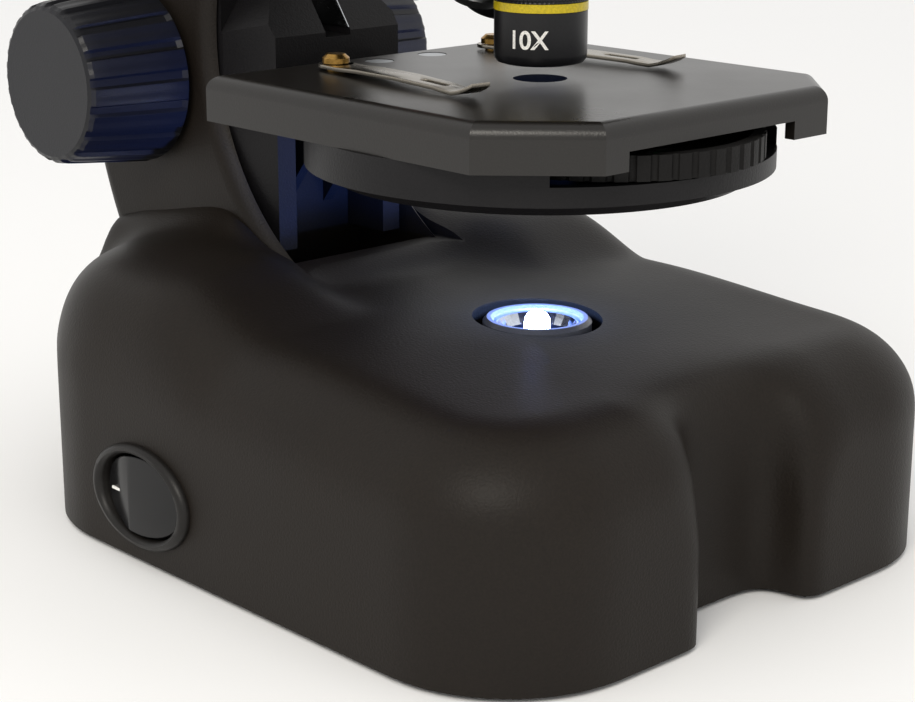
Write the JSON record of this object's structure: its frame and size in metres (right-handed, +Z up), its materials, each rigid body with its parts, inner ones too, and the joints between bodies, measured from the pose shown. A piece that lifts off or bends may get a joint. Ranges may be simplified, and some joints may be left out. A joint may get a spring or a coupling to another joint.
{
  "type": "microscope",
  "caption": "Charcoal student microscope with a lit base, a rack-driven stage, stage clips, a filter wheel, a turning objective turret and an inclined eyepiece on a rotating head.",
  "frame": {"origin": "The point where the optical axis meets the surface that the base stands on.", "axes": "+Z up along the optical axis; the open front of the stage faces -Y and the arm stands at +Y; +X runs to the right seen from the front, along the focus shaft."},
  "size_m": [0.1334, 0.184, 0.2771],
  "materials": {
    "charcoal_body": "fine matte moulded plastic",
    "black_plastic": "matte black moulded plastic",
    "gloss_black": "smooth satin black plastic",
    "steel": "bright drawn steel",
    "brass": "turned brass",
    "grey_plastic": "light grey moulded plastic",
    "lamp": "clear bluish-white lens",
    "barrel": "satin dark anodised barrel",
    "ring_yellow": "yellow paint ring",
    "ring_blue": "blue paint ring",
    "ring_red": "red paint ring",
    "optics": "coated optical glass",
    "filter_red": "translucent red filter",
    "filter_green": "translucent green filter",
    "filter_blue": "translucent blue filter",
    "rubber": "soft black rubber",
    "cell": "plain wrapped cell"
  },
  "bodies": {
    "base": {"base_housing": "charcoal_body", "base_bottom_plate": "black_plastic", "battery_door": "black_plastic", "battery_tray": "black_plastic", "battery_cells": "cell", "battery_contacts": "steel", "battery_door_screw": "steel", "base_screws": "steel", "rubber_feet": "rubber", "lamp_cup": "black_plastic", "lamp_board": "black_plastic", "lamp_emitter": "lamp", "lamp_reflector": "grey_plastic", "lamp_collar": "grey_plastic", "switch_bezel": "black_plastic", "switch_module": "black_plastic", "arm_left": "charcoal_body", "arm_right": "charcoal_body", "arm_screws": "steel", "guide_rods": "steel", "rod_brackets": "black_plastic", "shaft_bushes": "brass", "head_housing": "charcoal_body", "turret_mount": "charcoal_body", "turret_hub_screw": "steel", "head_lock_screw": "brass"},
    "rocker": {"switch_rocker": "gloss_black"},
    "focus": {"focus_shaft": "steel", "focus_pinion": "brass", "focus_knob_left": "gloss_black", "focus_knob_right": "gloss_black"},
    "stage": {"stage_carriage": "charcoal_body", "focus_rack": "grey_plastic", "stage_bracket": "charcoal_body", "stage_plate": "gloss_black", "stage_screws": "steel", "filter_housing": "charcoal_body", "wheel_pivot_screw": "steel", "clip_post_left": "brass", "clip_post_right": "brass"},
    "wheel": {"filter_wheel": "black_plastic", "filter_red": "filter_red", "filter_green": "filter_green", "filter_blue": "filter_blue"},
    "clip_left": {"stage_clip_left": "steel"},
    "clip_right": {"stage_clip_right": "steel"},
    "turret": {"turret_body": "charcoal_body", "objective_10x_barrel": "barrel", "objective_10x_ring": "ring_yellow", "objective_40x_barrel": "barrel", "objective_40x_ring": "ring_blue", "objective_4x_barrel": "barrel", "objective_4x_ring": "ring_red", "objective_lenses": "optics"},
    "head": {"prism_housing": "charcoal_body", "erecting_prism": "optics", "eyepiece_tube": "charcoal_body"},
    "eyepiece": {"eyepiece_barrel": "black_plastic", "eye_cup": "rubber", "eyepiece_lenses": "optics"}
  },
  "joints": [
    {"name": "stage_slide", "type": "slide", "parent": "base", "child": "stage", "axis": [0, 0, 1], "range_m": [-0.011, 0.001]},
    {"name": "focus_turn", "type": "hinge", "parent": "base", "child": "focus", "pos_m": [0, 0.0997, 0.0872], "axis": [1, 0, 0], "range_deg": [-15, 110]},
    {"name": "rocker_tilt", "type": "hinge", "parent": "base", "child": "rocker", "pos_m": [-0.0625, 0.043, 0.0146], "axis": [0, 0, 1], "range_deg": [0, 6]},
    {"name": "filter_wheel_turn", "type": "hinge", "parent": "stage", "child": "wheel", "pos_m": [0, -0.017, 0.085], "axis": [0, 0, 1], "continuous": true},
    {"name": "clip_left_swing", "type": "hinge", "parent": "stage", "child": "clip_left", "pos_m": [-0.0215, 0.035, 0.0955], "axis": [0, 0, 1], "range_deg": [-60, 10]},
    {"name": "clip_right_swing", "type": "hinge", "parent": "stage", "child": "clip_right", "pos_m": [0.0215, 0.035, 0.0955], "axis": [0, 0, 1], "range_deg": [-10, 60]},
    {"name": "turret_turn", "type": "hinge", "parent": "base", "child": "turret", "pos_m": [0, 0, 0.165], "axis": [0, -0.309, 0.9511], "continuous": true},
    {"name": "head_turn", "type": "hinge", "parent": "base", "child": "head", "pos_m": [0, 0, 0.182], "axis": [0, 0, 1], "continuous": true},
    {"name": "eyepiece_slide", "type": "slide", "parent": "head", "child": "eyepiece", "axis": [0, 0.7071, 0.7071], "range_m": [0, 0.02]}
  ],
  "couplings": [
    {"joint": "focus_turn", "follows": "stage_slide", "rad_per_m": -166.67}
  ]
}
